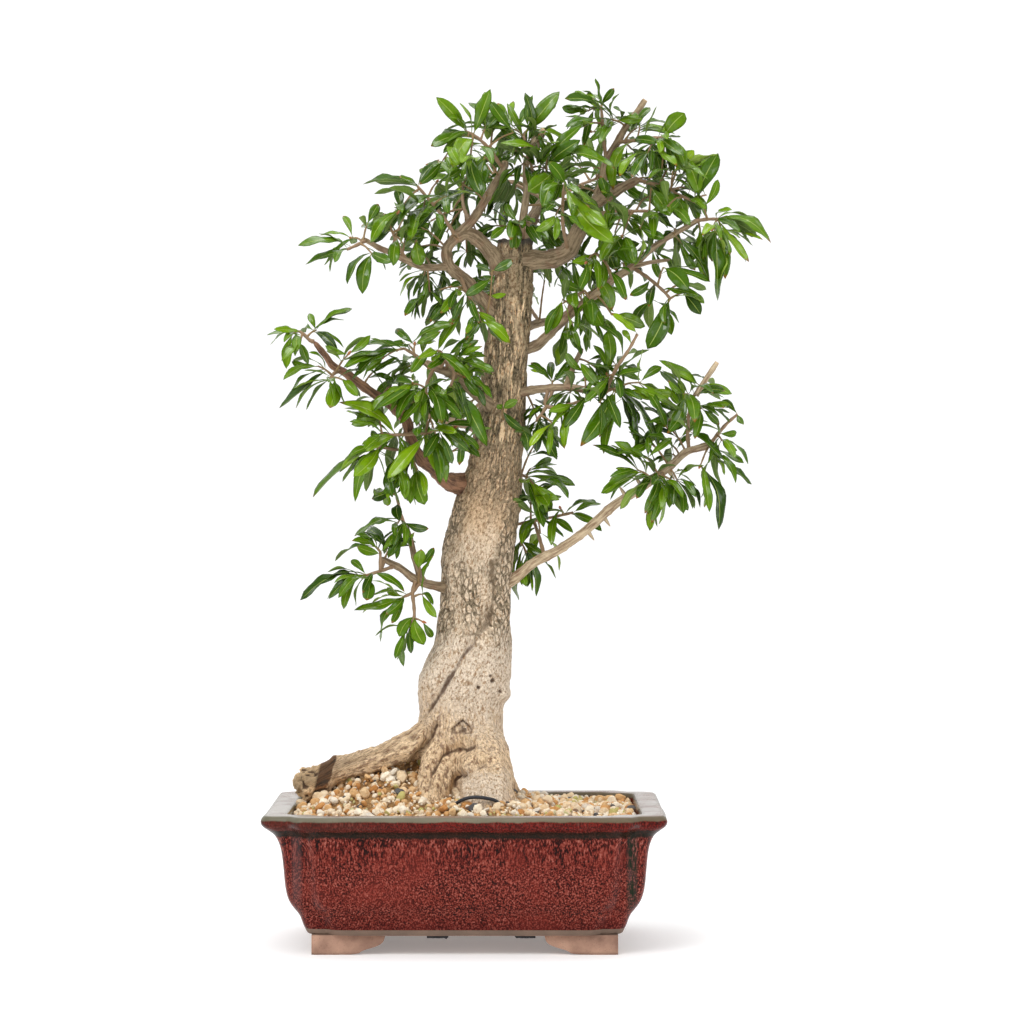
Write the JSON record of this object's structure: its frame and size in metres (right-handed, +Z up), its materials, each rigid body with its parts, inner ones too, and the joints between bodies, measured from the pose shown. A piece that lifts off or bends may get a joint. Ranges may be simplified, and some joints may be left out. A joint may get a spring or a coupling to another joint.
{
  "type": "pomegranate bonsai",
  "caption": "Bonsai tree with a stout leaning trunk, surface roots and leafy branches, potted in a footed glazed rectangular pot with gravelly soil.",
  "frame": {"origin": "table height under the middle of the object's outline, seen from above", "axes": "+Z up along the tree, +X to the right and -Y towards the viewer of the pot's front face"},
  "size_m": [0.3472, 0.2266, 0.602],
  "materials": {
    "glazed_ceramic": "deep red mottled gloss glaze over brown clay",
    "soil_granules": "loose cream, tan and golden granules",
    "trunk_bark": "matt pale grey-brown bark with fissures",
    "branch_bark": "matt brown young bark",
    "foliage": "semi-gloss green leaves",
    "wire_sleeve": "satin black sleeve",
    "screen_mesh": "satin black mesh"
  },
  "bodies": {
    "root": {"pot": "glazed_ceramic", "soil": "soil_granules", "trunk": "trunk_bark", "tie_down_wire": "wire_sleeve", "drain_screen_left": "screen_mesh", "drain_screen_right": "screen_mesh", "branch_right_low": "branch_bark", "branch_right_mid": "branch_bark", "branch_right_upper": "branch_bark", "branch_top_right": "branch_bark", "branch_top_centre": "branch_bark", "branch_left_fork": "branch_bark", "branch_left_long": "branch_bark", "branch_left_tier": "branch_bark", "branch_left_low": "branch_bark", "branch_front_left": "branch_bark", "branch_back_low": "branch_bark", "branch_back_mid": "branch_bark", "branch_back_top": "branch_bark", "spray_crown_left_tip": "foliage", "spray_crown_left_outer": "foliage", "spray_left_long_tip": "foliage", "spray_left_long_mid": "foliage", "spray_crown_left_inner": "foliage", "spray_left_fork_low": "foliage", "spray_crown_centre_top": "foliage", "spray_crown_apex": "foliage", "spray_crown_centre_front": "foliage", "spray_crown_notch": "foliage", "spray_crown_right_top": "foliage", "spray_crown_right_shoulder": "foliage", "spray_crown_right_tip": "foliage", "spray_crown_right_mid": "foliage", "spray_right_upper_low": "foliage", "spray_right_upper_inner": "foliage", "spray_right_upper_front": "foliage", "spray_right_mid_tip": "foliage", "spray_right_mid_inner": "foliage", "spray_trunk_right": "foliage", "spray_trunk_right_low": "foliage", "spray_right_low_top": "foliage", "spray_right_low_tip": "foliage", "spray_right_low_inner": "foliage", "spray_left_tier_tip": "foliage", "spray_left_tier_outer": "foliage", "spray_left_tier_top": "foliage", "spray_left_tier_right": "foliage", "spray_left_tier_mid": "foliage", "spray_left_tier_inner": "foliage", "spray_left_tier_low": "foliage", "spray_left_low_tip": "foliage", "spray_left_low_mid": "foliage", "spray_left_low_top": "foliage", "spray_back_low_left": "foliage", "spray_back_low_right": "foliage", "spray_back_mid_right": "foliage", "spray_back_mid_left": "foliage", "spray_back_top_right": "foliage", "spray_back_top_left": "foliage"}
  },
  "joints": []
}
